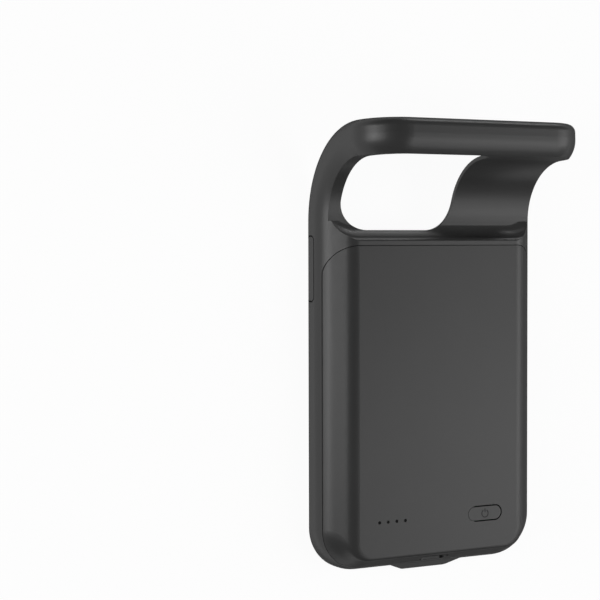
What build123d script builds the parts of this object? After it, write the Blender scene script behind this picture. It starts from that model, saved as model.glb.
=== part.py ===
from build123d import *
import math
import os

# A soft phone case with a battery hump, its soft top bent backwards to let a phone in.
# Millimetres. The case lies on its front rim at Z = 0, +Z is its back and +Y its top.
# While it is modelled, Y = 0 is the outer face of the bottom wall.

# Phone bay
bay_width = 71.0
bay_depth = 8.3
bay_corner = 10.6
soft_wall = 2.4
lip_thick = 0.8
lip_reach = 1.3
sheet_thick = 1.1

# Outer form of the soft frame
front_round = 2.4
lip_round = 0.4
skirt_start = 4.5
skirt_radius = 9.0
sheet_join = 2.0
channel_overlap = 1.9
shoulder_width = 2.3
crest_round = 1.6
crest_lift = 0.08
valley_round = 5.0
valley_corner = 14.0
valley_spread = 3.5
valley_sink = 0.15

# Bent top
bend_radius = 18.3
bend_angle = 87.5

# Camera window and the openings in the side walls
window_left = -32.0
window_right = 7.3
window_margin = 2.2
window_corner = 9.0
action_slot_length = 11.8
action_slot_height = 6.0
action_slot_level = 4.3
action_slot_angle = 25.0

# Button covers moulded into the side walls
button_groove = 0.45
button_groove_depth = 0.7
button_drop = 0.1
button_height = 3.4
button_corner = 1.2
button_level = 3.1
side_button_length = 19.0
side_button_middle = 90.7
volume_down_length = 12.3
volume_down_middle = 84.65
volume_up_length = 14.2
volume_up_middle = 99.5

# Bottom boss
boss_reach = 1.65
boss_flat = 15.0
boss_base = 27.0
boss_blend = 5.0
boss_front = 1.0
boss_back = 8.0
boss_face_low = 2.6
boss_face_high = 5.4
boss_round = 1.2
boss_sink = 0.8

# Hump and hard cover
part_height = 8.4
hump_back = 15.3
bevel_angle = 41.0
crown_radius = 6.0
skirt_steps = 3
slope_steps = 3
crown_steps = 6
crown_corner = 5.0
toe_lean = 24.0
toe_radius = 1.4
cover_top = 97.7
cover_corner = 8.8
cover_wall = 1.3
cover_gap = 0.2
cover_lap = 1.0
lap_side = 1.0
lap_gap = 0.1
cover_ledge = 1.2
cover_end_wall = 1.4

# Inner tray
tray_thick = 1.0
tray_inset = 2.3
tray_top_margin = 2.2
tray_corner = 5.0
tray_gap = 0.1
apron_thick = 1.2
apron_half = 23.5
apron_gap = 0.3
flex_groove = 0.5

# Power key and charge lights
key_middle_y = 15.2
key_left = 10.34
key_right = 22.24
key_height = 4.12
key_slot = 0.4
key_hinge_gap = 0.12
key_slot_start = 12.4
key_thick = 1.2
key_nub_width = 2.4
key_nub_gap = 0.15
light_first = -21.3
light_pitch = 3.0
light_count = 4
light_row_y = 15.2
light_pin = 0.9
light_pin_gap = 0.05
light_bar_width = 2.2
light_bar_thick = 0.7

# Charging plug in the bay
plug_width = 8.25
plug_height = 2.4
plug_reach = 6.65
plug_wall = 0.3
plug_base_width = 12.0
plug_base_height = 4.4
plug_base_depth = 1.4
plug_collar_width = 9.8
plug_collar_height = 3.8
plug_contact_count = 6
plug_contact_pitch = 0.9
plug_contact_width = 0.4
plug_contact_thick = 0.15
plug_contact_length = 3.6
plug_gap = 0.1

# Charge socket in the hump's bottom
port_width = 8.9
port_height = 3.2
port_depth = 7.2
port_wall = 0.3
port_recess = 0.3
port_clearance = 0.3
port_tongue_width = 6.7
port_tongue_thick = 0.7
port_tongue_reach = 4.4
port_back_wall = 1.6

# Main board and what it carries
board_half = 26.0
board_low = 4.4
board_high = 19.6
board_thick = 0.8
board_corner = 2.0
board_standoff = 0.3
board_gap = 0.2
screw_x = 23.4
screw_low_y = 7.2
screw_high_y = 17.4
screw_head = 2.4
screw_head_thick = 0.6
screw_shank = 1.2
screw_drive = 0.4
screw_gap = 0.05
screw_depth = 0.8
led_length = 1.6
led_width = 0.8
led_height = 0.6
switch_x = 18.6
switch_size = 4.0
switch_body = 1.2
stem_width = 2.0
stem_depth = 1.4
stem_height = 0.55
stem_gap = 0.15
stem_well = 0.7
stem_travel = 0.3
chip_size = 4.0
chip_height = 0.85
chip_x = -7.6
inductor_size = 4.6
inductor_height = 2.0
inductor_x = 9.2
inductor_round = 0.6
capacitor_length = 1.6
capacitor_width = 0.8
capacitor_height = 0.8
capacitor_count = 4
capacitor_pitch = 1.7
capacitor_row_y = 17.6
part_row_y = 13.6

# Battery
cell_half = 26.5
cell_low = 26.6
cell_high = 92.6
cell_thick = 3.2
cell_round = 1.2
tape_thick = 0.15
tape_margin = 3.0
foam_margin = 8.0
tab_width = 4.0
tab_thick = 0.2
tab_inset = 5.0
tab_overlap = 1.2
guard_low = 21.6
guard_high = 24.8
guard_half = 17.0
guard_thick = 0.8
guard_post = 0.7
lead_width = 3.0
lead_thick = 0.2

# Flat lead from the plug to the board
flex_thick = 0.15
flex_width = 5.0
flex_middle_x = 9.4
flex_tail = 2.6
flex_gap = 0.1

# Worked out from the values above
half_bay = bay_width / 2
half_out = half_bay + soft_wall
out_corner = bay_corner + soft_wall
bay_back = lip_thick + bay_depth
soft_back = bay_back + sheet_thick
tray_back = bay_back + tray_thick
cover_inside = hump_back - cover_wall
channel_start = cover_top - cover_corner - channel_overlap
shoulder_y = cover_top + shoulder_width
crest_top = hump_back + crest_lift
valley_floor = soft_back - valley_sink
shoulder_turn = math.acos(1 - (crest_top - valley_floor) / (crest_round + valley_round))
bend_start = shoulder_y + valley_round * math.sin(shoulder_turn)
window_bottom = shoulder_y + window_margin
bay_middle = lip_thick + bay_depth / 2
bevel = math.radians(bevel_angle)
crown_start = hump_back - crown_radius * (1 - math.cos(bevel))
bevel_start = skirt_start + skirt_radius * math.cos(bevel)
toe_turn = math.radians(90 - toe_lean)
toe_slope = math.tan(math.radians(toe_lean))


def skirt_lean(z):
    """Inset of the outer side at height z on the leaning skirt."""
    rise = max(z - skirt_start, 0)
    return skirt_radius - math.sqrt(skirt_radius ** 2 - rise ** 2)


def side_half(z):
    """Half width of the hump at height z: skirt, flat bevel, then the round crown."""
    if z <= bevel_start:
        return half_out - skirt_lean(z)
    bevel_x = half_out - skirt_lean(bevel_start)
    if z <= crown_start:
        return bevel_x - (z - bevel_start) / math.tan(bevel)
    crown_x = bevel_x - (crown_start - bevel_start) / math.tan(bevel)
    drop = hump_back - z
    turn = math.acos(1 - drop / crown_radius)
    return crown_x - crown_radius * (math.sin(bevel) - math.sin(turn))


toe_base = skirt_lean(part_height)
toe_flat = toe_base + (hump_back - part_height) * toe_slope + toe_radius * math.tan(toe_turn / 2)
toe_start = hump_back - toe_radius * (1 - math.cos(toe_turn))


def bottom_edge(z):
    """Y of the hump's bottom at height z: a steep wall, then a small round."""
    if z <= toe_start:
        return toe_base + (z - part_height) * toe_slope
    turn = math.acos(1 - (hump_back - z) / toe_radius)
    return toe_flat - toe_radius * math.sin(turn)


def corner_radius(z):
    """Plan corner radius of the hump, shrinking towards its back."""
    rise = (z - part_height) / (hump_back - part_height)
    share = rise ** 2
    return (out_corner - toe_base) * (1 - share) + crown_corner * share


def block(x0, x1, y0, y1, z0, z1):
    """A box between two corners."""
    size = Box(x1 - x0, y1 - y0, z1 - z0)
    return Pos((x0 + x1) / 2, (y0 + y1) / 2, (z0 + z1) / 2) * size


def rounded_plan(half, y0, y1, low_corner, high_corner):
    """A rectangle across X = 0 with its own corner radii at the low and high end."""
    plan = Pos(0, (y0 + y1) / 2) * Rectangle(2 * half, y1 - y0)
    ends = plan.vertices().sort_by(Axis.Y)
    plan = fillet(ends[:2], low_corner)
    ends = plan.vertices().sort_by(Axis.Y)
    return fillet(ends[-2:], high_corner)


def slab(plan, z0, z1):
    """A plan shape standing between two heights."""
    return extrude(Pos(0, 0, z0) * plan, z1 - z0)


def pill(length, height):
    """A flat bar with round ends, along X."""
    return SlotOverall(length, height)


def wall_section(upper):
    """Section of the soft wall as (outward, height) from the bay's wall face.

    The lower one ends in the flat land under the hard cover, the upper one runs over a crest into the sheet.
    """
    front = [
        Line((-lip_reach, lip_thick), (-lip_reach, lip_round)),
        RadiusArc((-lip_reach, lip_round), (-lip_reach + lip_round, 0), -lip_round),
        Line((-lip_reach + lip_round, 0), (soft_wall - front_round, 0)),
        RadiusArc((soft_wall - front_round, 0), (soft_wall, front_round), -front_round),
        Line((soft_wall, front_round), (soft_wall, skirt_start)),
    ]
    if upper:
        crest = (soft_wall - skirt_lean(soft_back), soft_back)
        top = [
            RadiusArc((soft_wall, skirt_start), crest, -skirt_radius),
            Line(crest, (-sheet_join, soft_back)),
            Line((-sheet_join, soft_back), (-sheet_join, bay_back)),
            Line((-sheet_join, bay_back), (0, bay_back)),
            Line((0, bay_back), (0, lip_thick)),
        ]
    else:
        land = (soft_wall - skirt_lean(part_height), part_height)
        top = [
            RadiusArc((soft_wall, skirt_start), land, -skirt_radius),
            Line(land, (0, part_height)),
            Line((0, part_height), (0, lip_thick)),
        ]
    close = [Line((0, lip_thick), (-lip_reach, lip_thick))]
    return make_face(Curve() + front + top + close)


def wall_plane(x, y):
    """Plane across the left wall, with its first axis outward and its second towards the back."""
    return Plane(origin=(x, y, 0), x_dir=(-1, 0, 0), z_dir=(0, 1, 0))


def bend(shape):
    """Turn a straight continuation of the case to the end of the bend."""
    axis = Axis((0, bend_start, soft_back + bend_radius), (1, 0, 0))
    return shape.rotate(axis, bend_angle)


def u_path(straight_y, end_y, towards):
    """Path of the bay's wall face down one side, round an end and back up the other side.

    towards is -1 when the end lies below straight_y and 1 when it lies above.
    """
    inner = half_bay - bay_corner
    turn_y = end_y - towards * bay_corner
    quarter = 90 * towards
    left = CenterArc((-inner, turn_y), bay_corner, 180, -quarter)
    right = CenterArc((inner, turn_y), bay_corner, quarter, -quarter)
    across = Line((-inner, end_y), (inner, end_y))
    pieces = [left, across, right]
    if abs(straight_y - turn_y) > 0:
        pieces = [Line((-half_bay, straight_y), (-half_bay, turn_y))] + pieces
        pieces.append(Line((half_bay, turn_y), (half_bay, straight_y)))
    return Wire([edge for piece in pieces for edge in piece.edges()])


def hump_section(z):
    """Plan section of the hump at height z, open-ended towards the top of the case."""
    half = side_half(z)
    low = bottom_edge(z)
    corner = corner_radius(z)
    outline = Curve() + [
        Line((-half, bend_start), (-half, low + corner)),
        CenterArc((-half + corner, low + corner), corner, 180, 90),
        Line((-half + corner, low), (half - corner, low)),
        CenterArc((half - corner, low + corner), corner, 270, 90),
        Line((half, low + corner), (half, bend_start)),
        Line((half, bend_start), (-half, bend_start)),
    ]
    return Pos(0, 0, z) * make_face(outline)


def hump_form():
    """The whole outer form of the hump above the parting line."""
    skirt = [part_height + (bevel_start - part_height) * i / skirt_steps for i in range(skirt_steps)]
    slope = [bevel_start + (crown_start - bevel_start) * i / slope_steps for i in range(slope_steps)]
    turns = [bevel * (1 - i / crown_steps) for i in range(crown_steps + 1)]
    crown = [hump_back - crown_radius * (1 - math.cos(turn)) for turn in turns]
    return loft([hump_section(z) for z in skirt + slope + crown])


def parting_plan(gap, lap):
    """Plan inside the parting line between hard cover and soft frame, a gap inwards, its top a lap lower."""
    inset = skirt_lean(part_height) + gap
    end = cover_top - lap - gap
    return rounded_plan(half_out - inset, inset, end, out_corner - inset, cover_corner - gap)


def lap_strip(gap):
    """Plan of the tongue that the soft sheet puts under the top edge of the cover, grown by a gap."""
    width = 2 * (half_bay - lap_side + gap)
    top = Pos(0, cover_top) * Rectangle(width, 2 * cover_corner)
    return (parting_plan(0, 0) - parting_plan(gap, cover_lap)) & top


def valley_section():
    """What the valley clears as (inward, height): over the round crest, down the hollow, along the sheet."""
    turn = math.degrees(shoulder_turn)
    crest = -crest_round * math.sin(shoulder_turn)
    foot = valley_round * math.sin(shoulder_turn)
    clear = 2 * hump_back
    return make_face(Curve() + [
        CenterArc((crest, crest_top - crest_round), crest_round, 90, -turn),
        CenterArc((foot, valley_floor + valley_round), valley_round, 270 - turn, turn),
        Line((foot, valley_floor), (valley_corner, valley_floor)),
        Line((valley_corner, valley_floor), (valley_corner, clear)),
        Line((valley_corner, clear), (crest, clear)),
        Line((crest, clear), (crest, crest_top)),
    ])


def make_shoulder(form):
    """The soft shoulder that frames the top of the hard cover and runs down a hollow into the sheet."""
    shoulder = split(form, Plane.XY.offset(soft_back), keep=Keep.TOP)
    shoulder -= block(-half_out, half_out, -half_out, channel_start, 0, 2 * hump_back)
    reach = half_out + valley_spread - valley_corner
    section = valley_section()
    left_end = Plane(origin=(-reach, shoulder_y, 0), x_dir=(0, 1, 0), z_dir=(1, 0, 0))
    right_end = Plane(origin=(reach, shoulder_y, 0), x_dir=(0, 1, 0), z_dir=(1, 0, 0))
    shoulder -= extrude(left_end * section, 2 * reach)
    corner = revolve(right_end * section, Axis((reach, shoulder_y + valley_corner, 0), (0, 0, 1)), 90)
    return shoulder - corner - mirror(corner, Plane.YZ)


def sheet_plane(x):
    """Plane across the soft sheet where the bend starts."""
    return Plane(origin=(x, bend_start, bay_back + sheet_thick / 2), x_dir=(-1, 0, 0), z_dir=(0, 1, 0))


def make_channel():
    """The soft walls and sheet above the hump: straight, then bent back, then the round end."""
    inner = half_bay - sheet_join
    wall = wall_plane(-half_bay, channel_start) * wall_section(True)
    straight = extrude(wall, bend_start - channel_start)
    sheet = block(-inner, inner, channel_start, bend_start, bay_back, soft_back)
    axis = Axis((0, bend_start, soft_back + bend_radius), (1, 0, 0))
    wall = wall_plane(-half_bay, bend_start) * wall_section(True)
    turned = revolve(wall, axis, bend_angle)
    strip = revolve(sheet_plane(0) * Rectangle(2 * inner, sheet_thick), axis, bend_angle)
    rim = sweep(wall, path=u_path(bend_start, bend_start + bay_corner, 1))
    end_corner = bay_corner - sheet_join
    plate_start = bend_start - bay_corner
    plate_plan = rounded_plan(inner, plate_start, bend_start + end_corner, end_corner, end_corner)
    plate = slab(plate_plan, bay_back, soft_back)
    plate -= block(-half_out, half_out, bend_start - out_corner, bend_start, 0, hump_back)
    mirrored = [mirror(straight, Plane.YZ), mirror(turned, Plane.YZ)]
    return straight.fuse(sheet, turned, strip, *mirrored, bend(rim), bend(plate))


def make_boss():
    """The thicker middle of the bottom wall, round the charging plug's base."""
    inner = boss_flat / 2
    outer = boss_base / 2
    tail = outer + 2 * boss_blend
    plan = make_face(Polyline(
        (-tail, soft_wall / 2), (-tail, boss_sink), (-outer, boss_sink), (-inner, -boss_reach),
        (inner, -boss_reach), (outer, boss_sink), (tail, boss_sink), (tail, soft_wall / 2), close=True))
    turns = plan.vertices().filter_by(lambda v: abs(v.X) < tail - lip_round)
    plan = fillet(turns, boss_blend)
    side = make_face(Polyline(
        (soft_wall / 2, boss_front), (-boss_reach, boss_face_low), (-boss_reach, boss_face_high),
        (soft_wall / 2, boss_back), close=True))
    side = fillet(side.vertices().sort_by(Axis.X)[:2], boss_round)
    side_plane = Plane(origin=(-tail, 0, 0), x_dir=(0, 1, 0), z_dir=(1, 0, 0))
    return slab(plan, 0, hump_back) & extrude(side_plane * side, 2 * tail)


def make_window():
    """The camera window through the soft sheet, from the straight part round the bend into the end."""
    width = window_right - window_left
    middle = (window_left + window_right) / 2
    low_end = window_bottom + window_corner
    low = rounded_plan(width / 2, window_bottom, low_end + bend_radius, window_corner, lip_round)
    low = slab(Pos(middle, 0) * low, bay_middle, hump_back)
    low -= block(-half_out, half_out, low_end + lip_round, low_end + 2 * bend_radius, 0, 2 * hump_back)
    turn = math.degrees(math.asin((low_end - bend_start) / (bend_radius + sheet_thick / 2)))
    axis = Axis((0, bend_start, soft_back + bend_radius), (1, 0, 0))
    strip = revolve(sheet_plane(middle) * Rectangle(width, 2 * sheet_thick), axis, bend_angle - turn)
    strip = strip.rotate(axis, turn)
    plate_start = bend_start - 2 * window_corner
    plate = rounded_plan(width / 2, plate_start, bend_start + window_corner, lip_round, window_corner)
    plate = slab(Pos(middle, 0) * plate, bay_back - sheet_thick / 2, soft_back + sheet_thick / 2)
    plate -= block(-half_out, half_out, 0, bend_start, 0, hump_back)
    return [low, strip, bend(plate)]


def side_plane(side, y, z):
    """Plane on a side wall, facing outwards."""
    return Plane(origin=(side * half_out, y, z), x_dir=(0, 1, 0), z_dir=(side, 0, 0))


def button_ring(side, y, length):
    """Groove that frees a moulded button cover from the wall, with the cover itself set a little back."""
    grown = button_corner + button_groove
    plane = side_plane(side, y, button_level)
    around = RectangleRounded(length + 2 * button_groove, button_height + 2 * button_groove, grown)
    ring = around - RectangleRounded(length, button_height, button_corner)
    groove = extrude(plane * ring, -button_groove_depth, both=True)
    return groove.fuse(extrude(plane * around, -button_drop, both=True))


def make_soft_frame(form):
    """The moulded soft frame in one piece."""
    wall = wall_plane(-half_bay, channel_start) * wall_section(False)
    lower = sweep(wall, path=u_path(channel_start, soft_wall, -1))
    frame = lower.fuse(make_channel(), make_shoulder(form), make_boss())
    frame -= slab(parting_plan(0, 0), part_height, 2 * hump_back)
    frame += slab(lap_strip(0), bay_back, soft_back)
    for cutter in make_window():
        frame -= cutter
    slot_side = side_plane(1, bend_start, action_slot_level)
    slot_plan = slot_side * pill(action_slot_length, action_slot_height)
    slot = extrude(slot_plan, 2 * soft_wall, both=True)
    frame -= slot.rotate(Axis((0, bend_start, soft_back + bend_radius), (1, 0, 0)), action_slot_angle)
    frame -= button_ring(-1, side_button_middle, side_button_length)
    frame -= button_ring(1, volume_down_middle, volume_down_length)
    frame -= button_ring(1, volume_up_middle, volume_up_length)
    half = plug_base_width / 2 + plug_gap
    tall = plug_base_height / 2 + plug_gap
    back_y = soft_wall - plug_base_depth - plug_gap
    frame -= block(-half, half, back_y, 2 * soft_wall, bay_middle - tall, bay_middle + tall)
    return frame


def key_plan(grow):
    """Plan of the power key, grown on all sides."""
    middle = (key_left + key_right) / 2
    return Pos(middle, key_middle_y) * pill(key_right - key_left + 2 * grow, key_height + 2 * grow)


def make_back_cover(form):
    """The hard cover of the hump, hollowed from the phone's side."""
    cover = form & slab(parting_plan(cover_gap, 0), part_height, 2 * hump_back)
    cover -= slab(lap_strip(cover_gap), 0, soft_back + lap_gap)
    bay = rounded_plan(half_bay, soft_wall, cover_top + bay_corner, bay_corner, lip_round)
    cover -= slab(bay, 0, bay_back)
    cover -= slab(tray_plan(tray_gap), 0, tray_back)
    low_half = half_bay - tray_inset - cover_ledge
    high_half = side_half(cover_inside) - cover_wall / math.sin(bevel)
    low_y = bottom_edge(tray_back) + cover_end_wall
    high_y = bottom_edge(cover_inside) + cover_end_wall
    end_y = cover_top - tray_top_margin - cover_ledge
    corner = tray_corner - cover_ledge
    floor = Pos(0, 0, tray_back) * rounded_plan(low_half, low_y, end_y, 2 * corner, corner)
    roof = Pos(0, 0, cover_inside) * rounded_plan(high_half, high_y, end_y, corner, corner)
    cover -= loft([floor, roof])
    hinge_end = slab(key_plan(key_hinge_gap), tray_back, 2 * hump_back)
    free_end = slab(key_plan(key_slot), tray_back, 2 * hump_back)
    free_end -= block(0, key_slot_start, 0, 2 * key_middle_y, 0, 2 * hump_back)
    cover -= hinge_end.fuse(free_end)
    for x in light_xs:
        cover -= Pos(x, light_row_y, hump_back) * Cylinder(light_pin / 2 + light_pin_gap, 2 * crown_radius)
    port_plane = Plane(origin=(0, port_mouth, port_middle), x_dir=(1, 0, 0), z_dir=(0, -1, 0))
    mouth = pill(port_width + 2 * port_clearance, port_height + 2 * port_clearance)
    cover -= extrude(port_plane * mouth, 2 * port_mouth, both=True)
    flex_half = flex_width / 2 + flex_gap
    left = flex_middle_x - flex_half
    right = flex_middle_x + flex_half
    cover -= block(left, right, soft_wall - flex_gap, low_y + flex_gap, tray_back, board_base + flex_gap)
    return cover


def tray_plan(grow):
    """Plan of the inner tray, grown on all sides."""
    half = half_bay - tray_inset + grow
    low_corner = bay_corner - tray_inset + grow
    high_y = cover_top - tray_top_margin + grow
    return rounded_plan(half, tray_low - grow, high_y, low_corner, tray_corner + grow)


def make_inner_tray():
    """The hard panel behind the phone, its apron round the plug, and posts for the boards."""
    tray = slab(tray_plan(0), bay_back, tray_back)
    apron_low = lip_thick + apron_gap
    apron = block(-apron_half, apron_half, tray_low, tray_low + apron_thick, apron_low, bay_back)
    tray = tray.fuse(apron)
    for x, y in screw_spots:
        tray += Pos(x, y, tray_back + board_standoff / 2) * Cylinder(screw_head / 2, board_standoff)
    for x in (-guard_half, guard_half):
        spot = x - math.copysign(lead_width, x)
        post = Pos(spot, (guard_low + guard_high) / 2, tray_back + guard_post / 2)
        tray += post * Cylinder(lead_width / 2, guard_post)
    for x, y in screw_spots:
        hole = Cylinder(screw_shank / 2 + screw_gap, 2 * (board_standoff + screw_depth))
        tray -= Pos(x, y, tray_back) * hole
    half = plug_collar_width / 2 + plug_gap
    tall = plug_collar_height / 2 + plug_gap
    tray -= block(-half, half, 0, tray_low + 2 * apron_thick, bay_middle - tall, bay_middle + tall)
    left = plug_collar_width / 2
    right = flex_middle_x + flex_width / 2 + flex_gap
    leg = flex_tail / 2 + flex_gap
    tray -= block(left, right, 0, tray_low + flex_groove, bay_middle - leg, bay_middle + leg)
    up = flex_middle_x - flex_width / 2 - flex_gap
    tray -= block(up, right, 0, tray_low + flex_groove, bay_middle - leg, hump_back)
    return tray


def make_plug():
    """The charging plug: base, metal shell, dark insert and contacts."""
    wall_y = soft_wall
    mouth_y = tray_low + apron_thick
    half = plug_base_width / 2
    tall = plug_base_height / 2
    base = block(-half, half, wall_y - plug_base_depth, wall_y, bay_middle - tall, bay_middle + tall)
    collar = block(-plug_collar_width / 2, plug_collar_width / 2, wall_y, mouth_y,
                   bay_middle - plug_collar_height / 2, bay_middle + plug_collar_height / 2)
    front = Plane(origin=(0, mouth_y, bay_middle), x_dir=(1, 0, 0), z_dir=(0, 1, 0))
    outer = front * pill(plug_width, plug_height)
    inner = front * pill(plug_width - 2 * plug_wall, plug_height - 2 * plug_wall)
    shell = extrude(outer, plug_reach) - extrude(inner, plug_reach)
    liner = plug_wall + plug_contact_thick
    hollow = front * pill(plug_width - 2 * plug_wall - 2 * liner, plug_height - 2 * plug_wall - liner)
    floor = plug_reach - plug_contact_length - plug_wall
    insert = extrude(inner, plug_reach - plug_wall) - Pos(0, floor, 0) * extrude(hollow, plug_reach)
    contacts = []
    rest = (plug_height - 2 * plug_wall - liner) / 2
    for i in range(plug_contact_count):
        x = (i - (plug_contact_count - 1) / 2) * plug_contact_pitch
        for side in (-1, 1):
            z = bay_middle + side * (rest - plug_contact_thick / 2)
            strip = Box(plug_contact_width, plug_contact_length, plug_contact_thick)
            contacts.append(Pos(x, mouth_y + floor + plug_contact_length / 2, z) * strip)
    return base.fuse(collar), shell, insert, Compound(contacts)


def make_flex():
    """The flat lead: across the plug's base, up behind the apron and under the main board."""
    left = plug_collar_width / 2 + flex_gap
    right = flex_middle_x + flex_width / 2
    up = flex_middle_x - flex_width / 2
    leg = flex_tail / 2
    across = block(left, right, soft_wall, soft_wall + flex_thick, bay_middle - leg, bay_middle + leg)
    rise = block(up, right, soft_wall, soft_wall + flex_thick, bay_middle - leg, board_base)
    over = block(up, right, soft_wall, board_low + flex_tail, board_base - flex_thick, board_base)
    return across.fuse(rise, over)


def make_port():
    """The charge socket: folded shell with board ears, and its tongue."""
    front = Plane(origin=(0, port_mouth, port_middle), x_dir=(1, 0, 0), z_dir=(0, 1, 0))
    shell = extrude(front * pill(port_width, port_height), port_depth)
    mouth = pill(port_width - 2 * port_wall, port_height - 2 * port_wall)
    shell -= extrude(front * mouth, port_depth - port_back_wall)
    ear = port_back_wall
    for side in (-1, 1):
        near = side * (port_width / 2 - port_wall)
        far = side * (port_width / 2 + ear)
        for y in (board_low + ear, port_mouth + port_depth - ear):
            low_x, high_x = sorted((near, far))
            shell += block(low_x, high_x, y - ear / 2, y + ear / 2, board_top, board_top + port_wall)
    back_y = port_mouth + port_depth - port_back_wall
    tongue_half = port_tongue_thick / 2
    tongue = block(-port_tongue_width / 2, port_tongue_width / 2, back_y - port_tongue_reach, back_y,
                   port_middle - tongue_half, port_middle + tongue_half)
    return shell, tongue


def make_board():
    """The main board with the cut-out for the mid-mounted charge socket."""
    plan = rounded_plan(board_half, board_low, board_high, board_corner, board_corner)
    board = slab(plan, board_base, board_top)
    half = port_width / 2 + board_gap
    board -= block(-half, half, 0, port_mouth + port_depth + board_gap, 0, hump_back)
    for x, y in screw_spots:
        hole = Cylinder(screw_shank / 2 + screw_gap, 2 * board_thick + board_standoff)
        board -= Pos(x, y, board_top) * hole
    return board


def make_screws():
    """The screws that hold the main board on the tray's posts."""
    screws = []
    length = board_thick + board_standoff + screw_depth - screw_gap
    for x, y in screw_spots:
        head = Pos(x, y, board_top + screw_head_thick / 2) * Cylinder(screw_head / 2, screw_head_thick)
        shank = Pos(x, y, board_top - length / 2) * Cylinder(screw_shank / 2, length)
        top = Pos(x, y, board_top + screw_head_thick)
        drive = top * Box(screw_shank, screw_drive, screw_head_thick)
        cross = top * Box(screw_drive, screw_shank, screw_head_thick)
        screws.append(head.fuse(shank) - drive - cross)
    return Compound(screws)


def make_key():
    """The power key with the nub that meets the switch."""
    key = slab(key_plan(0), hump_back - key_thick, hump_back)
    nub = key_nub_width / 2
    nub_low = stem_top + key_nub_gap
    low_y = key_middle_y - nub
    high_y = key_middle_y + nub
    return key + block(switch_x - nub, switch_x + nub, low_y, high_y, nub_low, hump_back - key_thick)


def make_switch():
    """The tactile switch's body with its well, and the stem that slides in it."""
    body = on_board(switch_x, key_middle_y, switch_size, switch_size, switch_body)
    well = Box(stem_width + 2 * stem_gap, stem_depth + 2 * stem_gap, 2 * stem_well)
    body -= Pos(switch_x, key_middle_y, board_top + switch_body) * well
    low = board_top + switch_body - stem_well + stem_travel + stem_gap
    half = stem_width / 2
    deep = stem_depth / 2
    stem = block(switch_x - half, switch_x + half, key_middle_y - deep, key_middle_y + deep, low, stem_top)
    return body, stem


def make_light_guide():
    """The clear bar under the cover whose pins show as the charge lights."""
    first = light_xs[0] - light_bar_width / 2
    last = light_xs[-1] + light_bar_width / 2
    wide = light_bar_width / 2
    low_z = cover_inside - light_bar_thick
    guide = block(first, last, light_row_y - wide, light_row_y + wide, low_z, cover_inside)
    for x in light_xs:
        guide += Pos(x, light_row_y, (cover_inside + hump_back) / 2) * Cylinder(light_pin / 2, cover_wall)
    return guide


def strip_along_y(x, width, points):
    """A bent strip of constant width across X, from its outline in Y and Z."""
    outline = make_face(Polyline(*points, close=True))
    plane = Plane(origin=(x - width / 2, 0, 0), x_dir=(0, 1, 0), z_dir=(1, 0, 0))
    return extrude(plane * outline, width)


def make_lead(x):
    """A strip from the cell's guard board down onto the main board."""
    low_end = board_high - flex_tail / 2
    step = board_high + lead_thick
    high_end = guard_low + flex_tail / 2
    return strip_along_y(x, lead_width, [
        (low_end, board_top),
        (step + lead_thick, board_top),
        (step + lead_thick, guard_top),
        (high_end, guard_top),
        (high_end, guard_top + lead_thick),
        (step, guard_top + lead_thick),
        (step, board_top + lead_thick),
        (low_end, board_top + lead_thick),
    ])


def on_board(x, y, length, width, height):
    """A small block standing on the main board."""
    return Pos(x, y, board_top + height / 2) * Box(length, width, height)


# Heights and places shared by several pieces
tray_low = soft_wall + tray_gap
board_base = tray_back + board_standoff
board_top = board_base + board_thick
port_middle = board_base + port_height / 2
port_mouth = bottom_edge(port_middle + port_height / 2) + port_recess
stem_top = board_top + switch_body + stem_height
guard_base = tray_back + guard_post
guard_top = guard_base + guard_thick
cell_base = tray_back + tape_thick
cell_top = cell_base + cell_thick
light_xs = [light_first + i * light_pitch for i in range(light_count)]
screw_spots = [(x, y) for x in (-screw_x, screw_x) for y in (screw_low_y, screw_high_y)]

hump = hump_form()
soft_frame = make_soft_frame(hump)
back_cover = make_back_cover(hump)
plug_base, plug_shell, plug_insert, plug_contacts = make_plug()
port_shell, port_tongue = make_port()
tact_switch, switch_stem = make_switch()
cell = block(-cell_half, cell_half, cell_low, cell_high, cell_base, cell_top)
inductor = on_board(inductor_x, part_row_y, inductor_size, inductor_size, inductor_height)
tab_length = cell_low - guard_high + tab_overlap
tab_middle = cell_low - tab_length / 2
tab = Box(tab_width, tab_length, tab_thick)
tab_level = guard_top + tab_thick / 2
tab_x = guard_half - tab_inset
capacitors = []
for i in range(capacitor_count):
    capacitor_x = (i - (capacitor_count - 1) / 2) * capacitor_pitch
    capacitor = on_board(capacitor_x, capacitor_row_y, capacitor_width, capacitor_length, capacitor_height)
    capacitors.append(capacitor)

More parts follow.
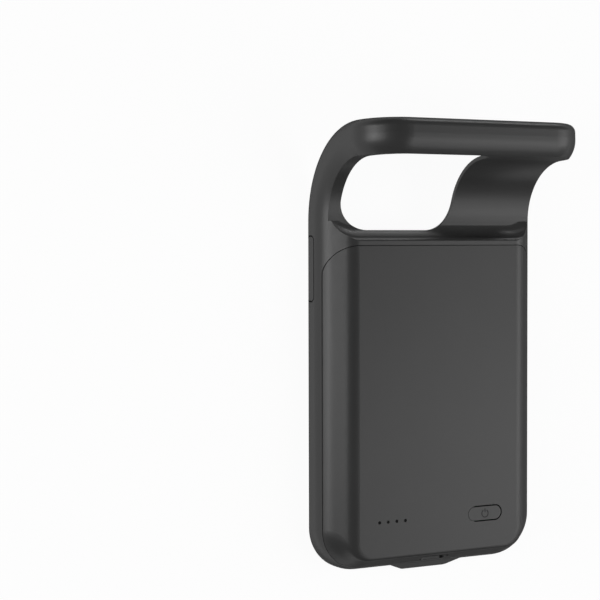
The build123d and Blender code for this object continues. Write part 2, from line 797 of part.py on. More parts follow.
nodes = {
    "soft_frame": soft_frame,
    "back_cover": back_cover,
    "inner_tray": make_inner_tray(),
    "power_key": make_key(),
    "light_guide": make_light_guide(),
    "battery_cell": fillet(cell.edges(), cell_round),
    "cell_tab_positive": Pos(tab_x, tab_middle, tab_level) * tab,
    "cell_tab_negative": Pos(-tab_x, tab_middle, tab_level) * tab,
    "protection_board": block(-guard_half, guard_half, guard_low, guard_high, guard_base, guard_top),
    "cell_lead_positive": make_lead(tab_x),
    "cell_lead_negative": make_lead(-tab_x),
    "cell_tape": block(-cell_half + tape_margin, cell_half - tape_margin, cell_low + tape_margin,
                       cell_high - tape_margin, tray_back, cell_base),
    "cushion_foam": block(-cell_half + foam_margin, cell_half - foam_margin, cell_low + foam_margin,
                          cell_high - foam_margin, cell_top, cover_inside),
    "main_board": make_board(),
    "plug_shell": plug_shell,
    "plug_insert": plug_insert,
    "plug_contacts": plug_contacts,
    "plug_base": plug_base,
    "plug_flex": make_flex(),
    "port_shell": port_shell,
    "port_tongue": port_tongue,
    "tact_switch": tact_switch,
    "switch_stem": switch_stem,
    "power_chip": on_board(chip_x, part_row_y, chip_size, chip_size, chip_height),
    "boost_inductor": fillet(inductor.edges().filter_by(Axis.Z), inductor_round),
    "board_capacitors": Compound(capacitors),
    "board_screws": make_screws(),
}
for number, x in enumerate(light_xs, start=1):
    nodes["status_led_" + str(number)] = on_board(x, light_row_y, led_length, led_width, led_height)

# The origin goes to the middle of the case's footprint
box = soft_frame.bounding_box()
centre = Pos(0, -(box.min.Y + box.max.Y) / 2, 0)
os.makedirs("parts", exist_ok=True)
for name, shape in nodes.items():
    export_step(centre * shape, "parts/" + name + ".step")
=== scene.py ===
"""Battery charging case: finishes, printed marks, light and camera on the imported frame."""
import logging
import math
from dataclasses import dataclass, field
from enum import Enum
from typing import Callable

import bpy
from mathutils import Matrix, Vector


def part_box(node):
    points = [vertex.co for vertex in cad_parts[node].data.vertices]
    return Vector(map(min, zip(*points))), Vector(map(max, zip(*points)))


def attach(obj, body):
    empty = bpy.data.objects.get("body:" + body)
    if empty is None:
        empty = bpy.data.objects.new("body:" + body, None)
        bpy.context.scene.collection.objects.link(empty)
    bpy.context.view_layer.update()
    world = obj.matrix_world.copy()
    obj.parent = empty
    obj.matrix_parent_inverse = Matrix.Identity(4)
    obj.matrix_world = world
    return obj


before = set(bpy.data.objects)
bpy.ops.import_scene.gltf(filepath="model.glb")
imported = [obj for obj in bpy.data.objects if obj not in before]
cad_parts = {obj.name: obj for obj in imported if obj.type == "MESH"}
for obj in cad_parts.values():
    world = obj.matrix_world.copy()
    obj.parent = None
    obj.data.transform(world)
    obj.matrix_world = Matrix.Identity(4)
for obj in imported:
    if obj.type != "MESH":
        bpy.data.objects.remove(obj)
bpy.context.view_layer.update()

LOG = logging.getLogger("charging_case")
MM = 0.001
# The case is measured from its foot; the frame's origin lies this far up from there.
ORIGIN_Y_MM = 66.097
# A face points along a direction when its normal has at least this share of it.
FACING = 0.9
MERGE_M = 1e-7

# Most of the noise lies between these values, and the roughness runs over them.
NOISE_SPAN = (0.3, 0.7)
BUMP_STRENGTH = 0.6
# The gloss spreads between these shares of facing away.
EDGE_SPAN = (0.35, 0.8)

Colour = tuple[float, float, float]
Triple = tuple[float, float, float]
Span = tuple[float, float]
FaceTest = Callable[[Vector, Vector], bool]


class Mark(Enum):
    """Signs that are moulded on the volume covers."""

    PLUS = "plus"
    MINUS = "minus"


class Side(Enum):
    """Side walls of the case, seen from its back, with the sign of their x."""

    LEFT = -1
    RIGHT = 1


class Sum(Enum):
    """Kinds of math node."""

    NUMBER = "ShaderNodeMath"
    VECTOR = "ShaderNodeVectorMath"


def deselect_all() -> None:
    """Leave edit mode and select nothing."""
    if bpy.context.object and bpy.context.object.mode != "OBJECT":
        bpy.ops.object.mode_set(mode="OBJECT")
    bpy.ops.object.select_all(action="DESELECT")


def facing(way: Vector, span: float = math.inf) -> FaceTest:
    """Make a test for faces that point along a direction.

    Args:
        way: Direction, of unit length.
        span: How far a face's centre may lie from the axis through the origin, in metres.

    Returns:
        The test.
    """
    def takes(centre: Vector, normal: Vector) -> bool:
        """Whether a face points that way and lies near the axis."""
        across = centre - way * centre.dot(way)
        return normal.dot(way) > FACING and across.length < span

    return takes


def select_faces(obj: bpy.types.Object, test: FaceTest) -> None:
    """Select faces in edit mode by their place and normal.

    Args:
        obj: Mesh object that is being edited.
        test: Says from a face's centre and normal whether it is taken.
    """
    bpy.ops.mesh.select_all(action="DESELECT")
    bpy.ops.object.mode_set(mode="OBJECT")
    for polygon in obj.data.polygons:
        polygon.select = test(polygon.center, polygon.normal)
    bpy.ops.object.mode_set(mode="EDIT")
    bpy.ops.mesh.select_mode(type="FACE")


def place_in_mesh(obj: bpy.types.Object) -> None:
    """Put an object's place into its mesh, so that the object sits at the origin.

    Args:
        obj: Mesh object to settle.
    """
    deselect_all()
    obj.select_set(True)
    bpy.context.view_layer.objects.active = obj
    bpy.ops.object.transform_apply(location=True, rotation=True, scale=True)


def grey(level: float, warm: float = 0.0) -> Colour:
    """A near-neutral linear grey.

    Args:
        level: Linear reflectance.
        warm: Shift towards red and away from blue, as a share.

    Returns:
        The colour.
    """
    return (level * (1 + warm), level, level * (1 - warm))


def add_sum(
    tree: bpy.types.NodeTree, kind: Sum, operation: str, *values: bpy.types.NodeSocket | float
) -> bpy.types.NodeSocket:
    """Add a math node to a tree.

    Args:
        tree: Node tree of a material or a group.
        kind: Whether it works on numbers or on vectors.
        operation: What the node does, in the shader editor's word for it.
        values: For each input in turn, the socket that feeds it or its number.

    Returns:
        The socket of the result.
    """
    node = tree.nodes.new(kind.value)
    node.operation = operation
    for socket, value in zip(node.inputs, values):
        if isinstance(value, float):
            socket.default_value = value
        else:
            tree.links.new(value, socket)
    return node.outputs[0]


def mix_colours(
    tree: bpy.types.NodeTree,
    share: bpy.types.NodeSocket,
    first: bpy.types.NodeSocket | Colour,
    second: Colour,
) -> bpy.types.NodeSocket:
    """Mix two colours over a surface.

    Args:
        tree: Node tree of the material.
        share: Socket that gives the share of the second colour.
        first: First colour, or the socket that gives it.
        second: Second colour.

    Returns:
        The socket of the mixed colour.
    """
    mix = tree.nodes.new("ShaderNodeMix")
    mix.data_type = "RGBA"
    tree.links.new(share, mix.inputs["Factor"])
    if isinstance(first, tuple):
        mix.inputs["A"].default_value = (*first, 1.0)
    else:
        tree.links.new(first, mix.inputs["A"])
    mix.inputs["B"].default_value = (*second, 1.0)
    return mix.outputs["Result"]


class NodeKit:
    """Shader node groups that several finishes share."""

    GRAIN_DETAIL = 3.0
    GRAIN_SHARE = 0.35
    DRIFT_DETAIL = 2.0
    DRIFT_SHARE = 0.65
    GRAIN_ROUGHNESS = 0.55
    LINE_DETAIL = 2.0
    LINE_ROUGHNESS = 0.5
    LINE_STRETCH = (1.0, 0.04, 1.0)

    def __init__(self) -> None:
        """Build the groups once."""
        self.grain = self._grain_group()
        self.brush = self._brush_group()
        self.walls = self._wall_shade_group()

    @staticmethod
    def _sockets(group: bpy.types.NodeTree, inputs: dict[str, float], outputs: list[str]) -> None:
        """Give a group its named float sockets.

        Args:
            group: Node group to fill.
            inputs: Input names with their default values.
            outputs: Output names.
        """
        for name, value in inputs.items():
            socket = group.interface.new_socket(name=name, in_out="INPUT", socket_type="NodeSocketFloat")
            socket.default_value = value
        for name in outputs:
            group.interface.new_socket(name=name, in_out="OUTPUT", socket_type="NodeSocketFloat")

    @staticmethod
    def _noise(
        group: bpy.types.NodeTree,
        place: bpy.types.NodeSocket,
        per_mm: bpy.types.NodeSocket,
        detail: float,
        roughness: float,
    ) -> bpy.types.NodeSocket:
        """Add a noise whose scale is counted per millimetre.

        Args:
            group: Node group to add it to.
            place: Socket of the coordinates.
            per_mm: Socket of the count per millimetre.
            detail: Noise detail.
            roughness: Noise roughness.

        Returns:
            The noise's socket.
        """
        noise = group.nodes.new("ShaderNodeTexNoise")
        noise.inputs["Detail"].default_value = detail
        noise.inputs["Roughness"].default_value = roughness
        group.links.new(place, noise.inputs["Vector"])
        group.links.new(add_sum(group, Sum.NUMBER, "MULTIPLY", per_mm, 1.0 / MM), noise.inputs["Scale"])
        return noise.outputs["Fac"]

    def _grain_group(self) -> bpy.types.NodeTree:
        """Fine eroded mould grain with a slow drift of tone from handling.

        Returns:
            The node group.
        """
        group = bpy.data.node_groups.new("mould_grain", "ShaderNodeTree")
        self._sockets(group, {"Grain per mm": 6.0, "Drift per mm": 0.05}, ["Height", "Tone"])
        enter = group.nodes.new("NodeGroupInput").outputs
        leave = group.nodes.new("NodeGroupOutput").inputs
        place = group.nodes.new("ShaderNodeTexCoord").outputs["Object"]
        grain = self._noise(group, place, enter["Grain per mm"], self.GRAIN_DETAIL, self.GRAIN_ROUGHNESS)
        drift = self._noise(group, place, enter["Drift per mm"], self.DRIFT_DETAIL, self.GRAIN_ROUGHNESS)
        share = add_sum(group, Sum.NUMBER, "MULTIPLY", drift, self.DRIFT_SHARE)
        tone = add_sum(group, Sum.NUMBER, "MULTIPLY_ADD", grain, self.GRAIN_SHARE, share)
        group.links.new(grain, leave["Height"])
        group.links.new(tone, leave["Tone"])
        return group

    def _brush_group(self) -> bpy.types.NodeTree:
        """Fine drawn lines along the plug's length for metal pieces.

        Returns:
            The node group.
        """
        group = bpy.data.node_groups.new("drawn_metal", "ShaderNodeTree")
        self._sockets(group, {"Lines per mm": 9.0}, ["Height", "Tone"])
        enter = group.nodes.new("NodeGroupInput").outputs
        leave = group.nodes.new("NodeGroupOutput").inputs
        place = group.nodes.new("ShaderNodeTexCoord").outputs["Object"]
        stretch = group.nodes.new("ShaderNodeMapping")
        stretch.inputs["Scale"].default_value = self.LINE_STRETCH
        group.links.new(place, stretch.inputs["Vector"])
        lines = self._noise(
            group, stretch.outputs["Vector"], enter["Lines per mm"], self.LINE_DETAIL, self.LINE_ROUGHNESS
        )
        group.links.new(lines, leave["Height"])
        group.links.new(lines, leave["Tone"])
        return group

    @staticmethod
    def _wall_shade_group() -> bpy.types.NodeTree:
        """Mask of a box in the case, where shade is painted black on the walls inside a slot.

        Returns:
            The node group.
        """
        group = bpy.data.node_groups.new("slot_wall_shade", "ShaderNodeTree")
        for name in ("Middle", "Half size"):
            group.interface.new_socket(name=name, in_out="INPUT", socket_type="NodeSocketVector")
        group.interface.new_socket(name="Mask", in_out="OUTPUT", socket_type="NodeSocketFloat")
        enter = group.nodes.new("NodeGroupInput").outputs
        leave = group.nodes.new("NodeGroupOutput").inputs
        place = group.nodes.new("ShaderNodeTexCoord").outputs["Object"]
        offset = add_sum(group, Sum.VECTOR, "SUBTRACT", place, enter["Middle"])
        size = add_sum(group, Sum.VECTOR, "ABSOLUTE", offset)
        excess = add_sum(group, Sum.VECTOR, "SUBTRACT", size, enter["Half size"])
        axes = group.nodes.new("ShaderNodeSeparateXYZ")
        group.links.new(excess, axes.inputs["Vector"])
        plan = add_sum(group, Sum.NUMBER, "MAXIMUM", axes.outputs["X"], axes.outputs["Y"])
        most = add_sum(group, Sum.NUMBER, "MAXIMUM", plan, axes.outputs["Z"])
        group.links.new(add_sum(group, Sum.NUMBER, "LESS_THAN", most, 0.0), leave["Mask"])
        return group


@dataclass(frozen=True)
class PaintedShadeSlot:
    """Box round a slot or groove whose walls are painted near black as shade."""

    middle_mm: Triple
    half_mm: Triple

    @classmethod
    def around(cls, node: str, reach_mm: Triple) -> "PaintedShadeSlot":
        """The slot round a CAD piece.

        Args:
            node: Name of the piece in the slot.
            reach_mm: How far the painted shade reaches past the piece along each axis.

        Returns:
            The slot.
        """
        low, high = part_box(node)
        middle = (low + high) / 2 / MM
        half = (high - low) / 2 / MM + Vector(reach_mm)
        return cls(tuple(middle), tuple(half))

    def mask(self, tree: bpy.types.NodeTree, kit: NodeKit) -> bpy.types.NodeSocket:
        """Add the slot's mask of painted shade to a material.

        Args:
            tree: Node tree of the material.
            kit: Shared node groups.

        Returns:
            The mask's socket.
        """
        walls = tree.nodes.new("ShaderNodeGroup")
        walls.node_tree = kit.walls
        walls.inputs["Middle"].default_value = Vector(self.middle_mm) * MM
        walls.inputs["Half size"].default_value = Vector(self.half_mm) * MM
        return walls.outputs["Mask"]


@dataclass(frozen=True)
class ButtonCover:
    """A button cover moulded into a side wall, with a groove round it."""

    side: Side
    y_mm: float
    length_mm: float
    level_mm: float = 3.55
    groove_inset_mm: float = 0.46
    groove_half_depth_mm: float = 0.34
    groove_half_height_mm: float = 1.75
    groove_margin_mm: float = 0.47

    def groove(self) -> PaintedShadeSlot:
        """The box of painted shade in the groove round the cover.

        Returns:
            The box of painted shade, placed on the frame's own wall.
        """
        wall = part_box("soft_frame")[1].x / MM
        half_length = self.length_mm / 2 + self.groove_margin_mm
        return PaintedShadeSlot(
            (self.side.value * (wall - self.groove_inset_mm), self.y_mm, self.level_mm),
            (self.groove_half_depth_mm, half_length, self.groove_half_height_mm),
        )


@dataclass(frozen=True)
class Finish:
    """One surface finish, as its material is mixed."""

    name: str
    dark: Colour
    light: Colour
    rough: Span
    grain_per_mm: float
    grain_depth_mm: float
    metallic: float = 0.0
    specular: float = 0.5
    drawn: bool = False
    edge_rough: float = 0.0
    painted_shade: tuple[PaintedShadeSlot, ...] = ()

    def material(self, kit: NodeKit) -> bpy.types.Material:
        """Build the node material of this finish.

        Args:
            kit: Shared node groups.

        Returns:
            The new material.
        """
        made = bpy.data.materials.new(self.name)
        made.use_nodes = True
        tree = made.node_tree
        nodes, links = tree.nodes, tree.links
        shader = nodes["Principled BSDF"]
        shader.inputs["Metallic"].default_value = self.metallic
        shader.inputs["Specular IOR Level"].default_value = self.specular
        texture = nodes.new("ShaderNodeGroup")
        texture.node_tree = kit.brush if self.drawn else kit.grain
        texture.inputs[0].default_value = self.grain_per_mm
        tint = mix_colours(tree, texture.outputs["Tone"], self.dark, self.light)
        # Painted shade: the walls inside each slot box turn near black.
        for slot in self.painted_shade:
            tint = mix_colours(tree, slot.mask(tree, kit), tint, PAINTED_SHADE_BLACK)
        links.new(tint, shader.inputs["Base Color"])
        gloss = nodes.new("ShaderNodeMapRange")
        gloss.inputs["From Min"].default_value, gloss.inputs["From Max"].default_value = NOISE_SPAN
        gloss.inputs["To Min"].default_value, gloss.inputs["To Max"].default_value = self.rough
        links.new(texture.outputs["Height"], gloss.inputs["Value"])
        roughness = gloss.outputs["Result"]
        if self.edge_rough:
            roughness = self._spread_gloss(tree, roughness)
        links.new(roughness, shader.inputs["Roughness"])
        bump = nodes.new("ShaderNodeBump")
        bump.inputs["Strength"].default_value = BUMP_STRENGTH
        bump.inputs["Distance"].default_value = self.grain_depth_mm * MM
        links.new(texture.outputs["Height"], bump.inputs["Height"])
        links.new(bump.outputs["Normal"], shader.inputs["Normal"])
        return made

    def _spread_gloss(
        self, tree: bpy.types.NodeTree, roughness: bpy.types.NodeSocket
    ) -> bpy.types.NodeSocket:
        """Let the gloss spread where the surface is seen at a low angle, as on a matt moulding.

        Args:
            tree: Node tree of the material.
            roughness: Socket of the roughness seen from straight above.

        Returns:
            The socket of the roughness at every angle.
        """
        nodes, links = tree.nodes, tree.links
        view = nodes.new("ShaderNodeLayerWeight")
        edge = nodes.new("ShaderNodeMapRange")
        edge.interpolation_type = "SMOOTHSTEP"
        edge.inputs["From Min"].default_value, edge.inputs["From Max"].default_value = EDGE_SPAN
        links.new(view.outputs["Facing"], edge.inputs["Value"])
        spread = nodes.new("ShaderNodeMix")
        spread.inputs["B"].default_value = self.edge_rough
        links.new(edge.outputs["Result"], spread.inputs["Factor"])
        links.new(roughness, spread.inputs["A"])
        return spread.outputs["Result"]


def drawn_metal(
    name: str, dark: Colour, light: Colour, rough: Span, lines_per_mm: float, line_depth_mm: float
) -> Finish:
    """A bare metal with fine drawn lines.

    Args:
        name: Name of the finish.
        dark: Colour in the lines.
        light: Colour between the lines.
        rough: Least and greatest roughness.
        lines_per_mm: Count of lines across a millimetre.
        line_depth_mm: Depth of the lines.

    Returns:
        The finish.
    """
    return Finish(name, dark, light, rough, lines_per_mm, line_depth_mm, metallic=1.0, drawn=True)


SIDE_COVER = ButtonCover(Side.LEFT, 90.7 - ORIGIN_Y_MM, 19.0)
VOLUME_DOWN = ButtonCover(Side.RIGHT, 84.65 - ORIGIN_Y_MM, 12.3)
VOLUME_UP = ButtonCover(Side.RIGHT, 99.5 - ORIGIN_Y_MM, 14.2)
# Below zero, the painted shade on the walls stops short of the piece in the slot.
KEY_SLOT_REACH_MM = (0.5, 0.5, -0.06)
PORT_MOUTH_REACH_MM = (-1.6, 2.5, 0.36)

# Near black painted on slot and groove walls as their shade.
PAINTED_SHADE_BLACK = grey(0.002)
# The shell's grooves round the three button covers carry painted shade.
SOFT_SHELL = Finish(
    "soft_charcoal_shell", grey(0.031), grey(0.039), rough=(0.3, 0.38),
    grain_per_mm=7.0, grain_depth_mm=0.002, specular=0.24, edge_rough=0.88,
    painted_shade=(SIDE_COVER.groove(), VOLUME_DOWN.groove(), VOLUME_UP.groove()),
)
# The cover's key slot and port mouth carry painted shade.
HARD_COVER = Finish(
    "matt_charcoal_cover", grey(0.031), grey(0.039), rough=(0.28, 0.36),
    grain_per_mm=9.0, grain_depth_mm=0.0015, specular=0.2, edge_rough=0.9,
    painted_shade=(
        PaintedShadeSlot.around("power_key", KEY_SLOT_REACH_MM),
        PaintedShadeSlot.around("port_shell", PORT_MOUTH_REACH_MM),
    ),
)
INNER_PANEL = Finish(
    "dark_inner_panel", grey(0.022), grey(0.03), rough=(0.42, 0.55),
    grain_per_mm=8.0, grain_depth_mm=0.004,
)
DARK_INSERT = Finish(
    "black_insert", grey(0.012), grey(0.018), rough=(0.4, 0.5),
    grain_per_mm=10.0, grain_depth_mm=0.002,
)
LIGHT_DOT = Finish(
    "unlit_light_dot", grey(0.003), grey(0.005), rough=(0.5, 0.6),
    grain_per_mm=10.0, grain_depth_mm=0.001, specular=0.05,
)
SYMBOL_INK = Finish(
    "symbol_ink", grey(0.016), grey(0.02), rough=(0.55, 0.65),
    grain_per_mm=12.0, grain_depth_mm=0.001, specular=0.1,
)
DRAWN_STEEL = drawn_metal(
    "drawn_steel", grey(0.5), grey(0.62), rough=(0.22, 0.34), lines_per_mm=9.0, line_depth_mm=0.002
)
# Drawn steel painted near black as the shade inside the port mouth; the tact switch wears it too.
SHADE_PAINTED_STEEL = drawn_metal(
    "shade_painted_steel", grey(0.03), grey(0.05), rough=(0.4, 0.52), lines_per_mm=9.0, line_depth_mm=0.002
)
NICKEL = drawn_metal(
    "nickel_strip", grey(0.48, 0.03), grey(0.6, 0.03), rough=(0.25, 0.38),
    lines_per_mm=7.0, line_depth_mm=0.002,
)
GOLD = drawn_metal(
    "gold_contact", (0.72, 0.47, 0.16), (0.85, 0.6, 0.24), rough=(0.18, 0.3),
    lines_per_mm=9.0, line_depth_mm=0.001,
)
COPPER = drawn_metal(
    "bare_copper", (0.66, 0.34, 0.2), (0.8, 0.44, 0.28), rough=(0.25, 0.4),
    lines_per_mm=7.0, line_depth_mm=0.002,
)
POUCH_FOIL = Finish(
    "pouch_foil", grey(0.46), grey(0.56), rough=(0.3, 0.42),
    grain_per_mm=1.5, grain_depth_mm=0.02, metallic=0.85,
)
SOLDER_MASK = Finish(
    "green_solder_mask", (0.008, 0.06, 0.025), (0.016, 0.1, 0.04), rough=(0.3, 0.42),
    grain_per_mm=4.0, grain_depth_mm=0.003,
)
TAPE = Finish(
    "adhesive_film", grey(0.6, 0.03), grey(0.7, 0.03), rough=(0.4, 0.5),
    grain_per_mm=3.0, grain_depth_mm=0.003,
)
FOAM = Finish(
    "cushion_foam", grey(0.02), grey(0.04), rough=(0.8, 0.95),
    grain_per_mm=3.0, grain_depth_mm=0.05,
)
AMBER_FILM = Finish(
    "amber_film", (0.36, 0.13, 0.015), (0.48, 0.2, 0.03), rough=(0.2, 0.3),
    grain_per_mm=3.0, grain_depth_mm=0.002,
)
DIODE = Finish(
    "diode_body", grey(0.7, 0.03), grey(0.8, 0.03), rough=(0.25, 0.35),
    grain_per_mm=8.0, grain_depth_mm=0.001,
)
FERRITE = Finish(
    "grey_ferrite", grey(0.03), grey(0.05), rough=(0.55, 0.7),
    grain_per_mm=6.0, grain_depth_mm=0.006,
)
CERAMIC = Finish(
    "fired_ceramic", (0.26, 0.17, 0.09), (0.34, 0.23, 0.13), rough=(0.3, 0.4),
    grain_per_mm=6.0, grain_depth_mm=0.002,
)


@dataclass
class CaseFinishes:
    """Which finish each CAD piece carries."""

    kit: NodeKit
    finishes: dict[str, Finish] = field(default_factory=lambda: {
        "soft_frame": SOFT_SHELL,
        "back_cover": HARD_COVER,
        "power_key": HARD_COVER,
        "inner_tray": INNER_PANEL,
        "light_guide": LIGHT_DOT,
        "battery_cell": POUCH_FOIL,
        "cell_tab_positive": NICKEL,
        "cell_tab_negative": NICKEL,
        "protection_board": SOLDER_MASK,
        "main_board": SOLDER_MASK,
        "cell_lead_positive": COPPER,
        "cell_lead_negative": COPPER,
        "cell_tape": TAPE,
        "cushion_foam": FOAM,
        "plug_shell": DRAWN_STEEL,
        "port_shell": SHADE_PAINTED_STEEL,
        "plug_insert": DARK_INSERT,
        "port_tongue": DARK_INSERT,
        "plug_base": DARK_INSERT,
        "plug_contacts": GOLD,
        "plug_flex": AMBER_FILM,
        "tact_switch": SHADE_PAINTED_STEEL,
        "switch_stem": DARK_INSERT,
        "power_chip": DARK_INSERT,
        "boost_inductor": FERRITE,
        "board_capacitors": CERAMIC,
        "board_screws": NICKEL,
        "status_led_1": DIODE,
        "status_led_2": DIODE,
        "status_led_3": DIODE,
        "status_led_4": DIODE,
    })
    made: dict[str, bpy.types.Material] = field(default_factory=dict)

    def material(self, finish: Finish) -> bpy.types.Material:
        """The material of a finish, built the first time it is asked for.

        Args:
            finish: Finish to look up.

        Returns:
            Its material.
        """
        if finish.name not in self.made:
            self.made[finish.name] = finish.material(self.kit)
        return self.made[finish.name]

    def dress(self) -> None:
        """Give every CAD node its finish."""
        for name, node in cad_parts.items():
            material = self.material(self.finishes[name])
            node.data.materials.clear()
            node.data.materials.append(material)
            LOG.info("dressed %s in %s", name, material.name)


@dataclass
class PowerMark:
    """The power symbol printed on the key: an open ring with a stroke."""

    finishes: CaseFinishes
    centre_mm: tuple[float, float] = (16.4, 15.1 - ORIGIN_Y_MM)
    ring_mm: float = 1.15
    stroke_mm: float = 0.3
    gap_deg: float = 64.0
    spin_steps: int = 40
    bar_mm: Span = (0.3, 1.6)
    film_mm: float = 0.02
    tip_share: float = 0.25
    tip_width: float = 0.5

    def build(self) -> bpy.types.Object:
        """Model the ring and the stroke, and join them on the key's face.

        Returns:
            The finished mark.
        """
        ring = self._ring()
        stroke = self._stroke()
        deselect_all()
        for piece in (ring, stroke):
            piece.select_set(True)
        bpy.context.view_layer.objects.active = ring
        bpy.ops.object.join()
        ring.name = "power_mark"
        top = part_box("power_key")[1].z
        ring.location = (self.centre_mm[0] * MM, self.centre_mm[1] * MM, top)
        place_in_mesh(ring)
        self.dress(ring)
        LOG.info("built %s", ring.name)
        return ring

    def dress(self, mark: bpy.types.Object) -> None:
        """Ink the mark and let it ride on the key.

        Args:
            mark: Mark that lies on the key's face.
        """
        mark.data.materials.append(self.finishes.material(SYMBOL_INK))
        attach(mark, "power_key")

    def _ring(self) -> bpy.types.Object:
        """The open ring, spun from its own cross-section.

        Returns:
            The ring about the origin.
        """
        deselect_all()
        bpy.ops.mesh.primitive_plane_add(size=1, location=(0, 0, 0))
        ring = bpy.context.object
        ring.scale = (self.stroke_mm * MM, self.film_mm * MM, 1)
        ring.rotation_euler = (math.radians(90), 0, 0)
        place_in_mesh(ring)
        start = math.radians(90 + self.gap_deg / 2)
        turn = Matrix.Rotation(start, 4, "Z")
        shift = Matrix.Translation((self.ring_mm * MM, 0, self.film_mm * MM / 2))
        ring.data.transform(turn @ shift)
        bpy.ops.object.mode_set(mode="EDIT")
        bpy.ops.mesh.select_all(action="SELECT")
        sweep = -math.radians(360 - self.gap_deg)
        bpy.ops.mesh.spin(steps=self.spin_steps, angle=sweep, center=(0, 0, 0), axis=(0, 0, 1))
        bpy.ops.mesh.select_all(action="SELECT")
        bpy.ops.mesh.remove_doubles(threshold=MERGE_M)
        bpy.ops.mesh.normals_make_consistent(inside=False)
        bpy.ops.object.mode_set(mode="OBJECT")
        return ring

    def _stroke(self) -> bpy.types.Object:
        """The short upright stroke in the ring's gap, with narrowed tips.

        Returns:
            The stroke, placed against a ring about the origin.
        """
        deselect_all()
        tip = self.stroke_mm * self.tip_share
        body = self.bar_mm[1] - self.bar_mm[0] - 2 * tip
        middle = (0, sum(self.bar_mm) / 2 * MM, self.film_mm * MM / 2)
        bpy.ops.mesh.primitive_cube_add(size=1, location=middle)
        stroke = bpy.context.object
        stroke.scale = (self.stroke_mm * MM, body * MM, self.film_mm * MM)
        place_in_mesh(stroke)
        bpy.ops.object.mode_set(mode="EDIT")
        for side in (1, -1):
            select_faces(stroke, facing(Vector((0, side, 0))))
            bpy.ops.mesh.extrude_region_move(TRANSFORM_OT_translate={"value": (0, side * tip * MM, 0)})
            bpy.ops.transform.resize(value=(self.tip_width, 1, 1), center_override=(0, 0, 0))
        bpy.ops.mesh.select_all(action="SELECT")
        bpy.ops.mesh.normals_make_consistent(inside=False)
        bpy.ops.object.mode_set(mode="OBJECT")
        return stroke


@dataclass
class VolumeMark:
    """A plus or minus sign moulded on a volume cover."""

    finishes: CaseFinishes
    mark: Mark
    cover: ButtonCover
    level_mm: float = 3.2
    arm_mm: float = 1.5
    stroke_mm: float = 0.3
    rise_mm: float = 0.06
    set_back_mm: float = 0.1
    middle_mm: float = 0.1

    def build(self) -> bpy.types.Object:
        """Model the sign from one plate whose middle is drawn out into arms.

        Returns:
            The finished sign on the right-hand wall.
        """
        deselect_all()
        bpy.ops.mesh.primitive_cube_add(size=1, location=(0, 0, 0))
        sign = bpy.context.object
        sign.name = "volume_" + self.mark.value
        sign.scale = (self.rise_mm * MM, self.stroke_mm * MM, self.stroke_mm * MM)
        place_in_mesh(sign)
        self._arms(sign, Vector((0, 1, 0)))
        if self.mark is Mark.PLUS:
            self._arms(sign, Vector((0, 0, 1)))
        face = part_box("soft_frame")[1].x - self.set_back_mm * MM
        sign.location = (face + self.rise_mm * MM / 2, self.cover.y_mm * MM, self.level_mm * MM)
        place_in_mesh(sign)
        self.dress(sign)
        LOG.info("built %s", sign.name)
        return sign

    def dress(self, sign: bpy.types.Object) -> None:
        """Give the sign the shell's finish and let it ride on the case.

        Args:
            sign: Sign that stands on its cover.
        """
        sign.data.materials.append(self.finishes.material(SOFT_SHELL))
        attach(sign, "case")

    def _arms(self, sign: bpy.types.Object, along: Vector) -> None:
        """Draw two opposite arms out of the sign's middle.

        Args:
            sign: Sign being modelled.
            along: Direction of the arms.
        """
        reach = (self.arm_mm - self.stroke_mm) / 2 * MM
        bpy.ops.object.mode_set(mode="EDIT")
        for side in (1, -1):
            way = along * side
            select_faces(sign, facing(way, self.middle_mm * MM))
            bpy.ops.mesh.extrude_region_move(TRANSFORM_OT_translate={"value": tuple(way * reach)})
        bpy.ops.object.mode_set(mode="OBJECT")


@dataclass(frozen=True)
class Softbox:
    """A studio light that faces the case."""

    name: str
    towards: Triple
    power: float
    width: float = 0.45
    height: float = 0.45
    distance: float = 0.9

    def build(self, target: Vector) -> bpy.types.Object:
        """Set the light up.

        Args:
            target: Point that the light faces.

        Returns:
            The light object.
        """
        data = bpy.data.lights.new(self.name, "AREA")
        data.shape = "RECTANGLE"
        data.size = self.width
        data.size_y = self.height
        data.energy = self.power
        lamp = bpy.data.objects.new(self.name, data)
        way = Vector(self.towards).normalized()
        lamp.location = target + way * self.distance
        lamp.rotation_euler = way.to_track_quat("Z", "Y").to_euler()
        bpy.context.collection.objects.link(lamp)
        return lamp


SOFTBOXES = (
    Softbox("right_main", (0.866, 0.0, 0.5), 2.15),
    Softbox("right_upper", (0.643, 0.0, 0.766), 1.3),
    Softbox("right_head", (0.557, 0.321, 0.766), 0.2),
    Softbox("right_foot_low", (0.75, -0.433, 0.5), 0.4),
    Softbox("right_foot", (0.557, -0.321, 0.766), 1.8),
    Softbox("left_low", (-0.985, 0.0, 0.174), 4.0),
    Softbox("left_main", (-0.866, 0.0, 0.5), 2.9),
    Softbox("left_upper", (-0.643, 0.0, 0.766), 0.3),
    Softbox("head_low", (0.497, 0.861, 0.105), 1.6, height=0.12),
)


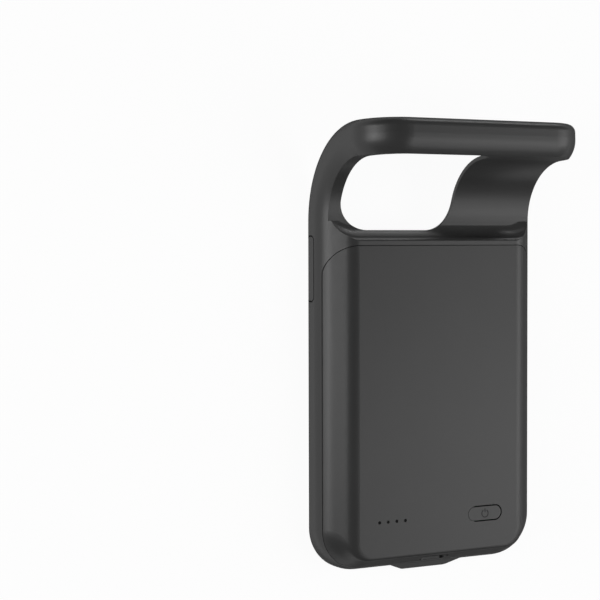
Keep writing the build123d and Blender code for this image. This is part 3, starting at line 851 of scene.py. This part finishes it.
@dataclass
class Studio:
    """Floor, lights, surround and camera."""

    floor_span: float = 8.0
    floor_drop_mm: float = 0.05
    floor_rough: float = 0.9
    floor_white: float = 0.85
    floor_bounce: float = 0.25
    floor_glow: float = 0.95
    surround: float = 0.02
    target: Triple = (0.0, 0.0, 0.012)
    camera_mm: Triple = (-274.01, 98.54 - ORIGIN_Y_MM, 440.19)
    right: Triple = (0.88275, -0.00259, 0.46984)
    up: Triple = (0.01844, 0.99941, -0.02914)
    lens_mm: float = 100.212
    sensor_mm: float = 36.0
    clip: Span = (0.01, 50.0)

    def build(self) -> None:
        """Build the whole studio."""
        self._floor()
        self._surround()
        for box in SOFTBOXES:
            box.build(Vector(self.target))
        self._camera()
        bpy.context.scene.view_settings.view_transform = "Standard"
        LOG.info("studio ready")

    def _floor(self) -> None:
        """Lay a white floor that keeps a soft shadow."""
        deselect_all()
        bpy.ops.mesh.primitive_plane_add(size=self.floor_span, location=(0, 0, -self.floor_drop_mm * MM))
        floor = bpy.context.object
        floor.name = "floor"
        place_in_mesh(floor)
        floor.data.materials.append(self._floor_paint())

    def _floor_paint(self) -> bpy.types.Material:
        """Paint that looks white, shows white in gloss and throws little light back.

        Returns:
            The floor's material.
        """
        made = bpy.data.materials.new("white_floor")
        made.use_nodes = True
        tree = made.node_tree
        nodes, links = tree.nodes, tree.links
        shader = nodes["Principled BSDF"]
        shader.inputs["Roughness"].default_value = self.floor_rough
        shader.inputs["Specular IOR Level"].default_value = 0.0
        rays = nodes.new("ShaderNodeLightPath").outputs
        paint = mix_colours(tree, rays["Is Diffuse Ray"], grey(self.floor_white), grey(self.floor_bounce))
        links.new(paint, shader.inputs["Base Color"])
        shiny = add_sum(tree, Sum.NUMBER, "ADD", rays["Is Glossy Ray"], rays["Is Transmission Ray"])
        seen = add_sum(tree, Sum.NUMBER, "ADD", rays["Is Camera Ray"], shiny)
        seen.node.use_clamp = True
        share = add_sum(tree, Sum.NUMBER, "MULTIPLY", seen, self.floor_glow)
        glow = nodes.new("ShaderNodeEmission")
        glow.inputs["Strength"].default_value = 1.0
        mix = nodes.new("ShaderNodeMixShader")
        links.new(share, mix.inputs["Fac"])
        links.new(shader.outputs[0], mix.inputs[1])
        links.new(glow.outputs[0], mix.inputs[2])
        links.new(mix.outputs[0], nodes["Material Output"].inputs["Surface"])
        return made

    def _surround(self) -> None:
        """A plain grey surround that fills the shadows."""
        world = bpy.data.worlds.new("studio_surround")
        world.use_nodes = True
        back = world.node_tree.nodes["Background"]
        back.inputs["Color"].default_value = (1.0, 1.0, 1.0, 1.0)
        back.inputs["Strength"].default_value = self.surround
        bpy.context.scene.world = world

    def _camera(self) -> None:
        """Stand the camera where the picture was taken from."""
        data = bpy.data.cameras.new("product_camera")
        data.lens = self.lens_mm
        data.sensor_width = self.sensor_mm
        data.clip_start, data.clip_end = self.clip
        camera = bpy.data.objects.new("product_camera", data)
        right = Vector(self.right).normalized()
        back = right.cross(Vector(self.up)).normalized()
        up = back.cross(right)
        turn = Matrix((right, up, back)).transposed().to_4x4()
        camera.matrix_world = Matrix.Translation(Vector(self.camera_mm) * MM) @ turn
        bpy.context.collection.objects.link(camera)
        bpy.context.scene.camera = camera


def main() -> None:
    """Dress the case, add its marks and set up the studio."""
    logging.basicConfig(level=logging.INFO)
    finishes = CaseFinishes(NodeKit())
    finishes.dress()
    PowerMark(finishes).build()
    VolumeMark(finishes, Mark.MINUS, VOLUME_DOWN).build()
    VolumeMark(finishes, Mark.PLUS, VOLUME_UP).build()
    Studio().build()


if __name__ == "__main__":
    main()
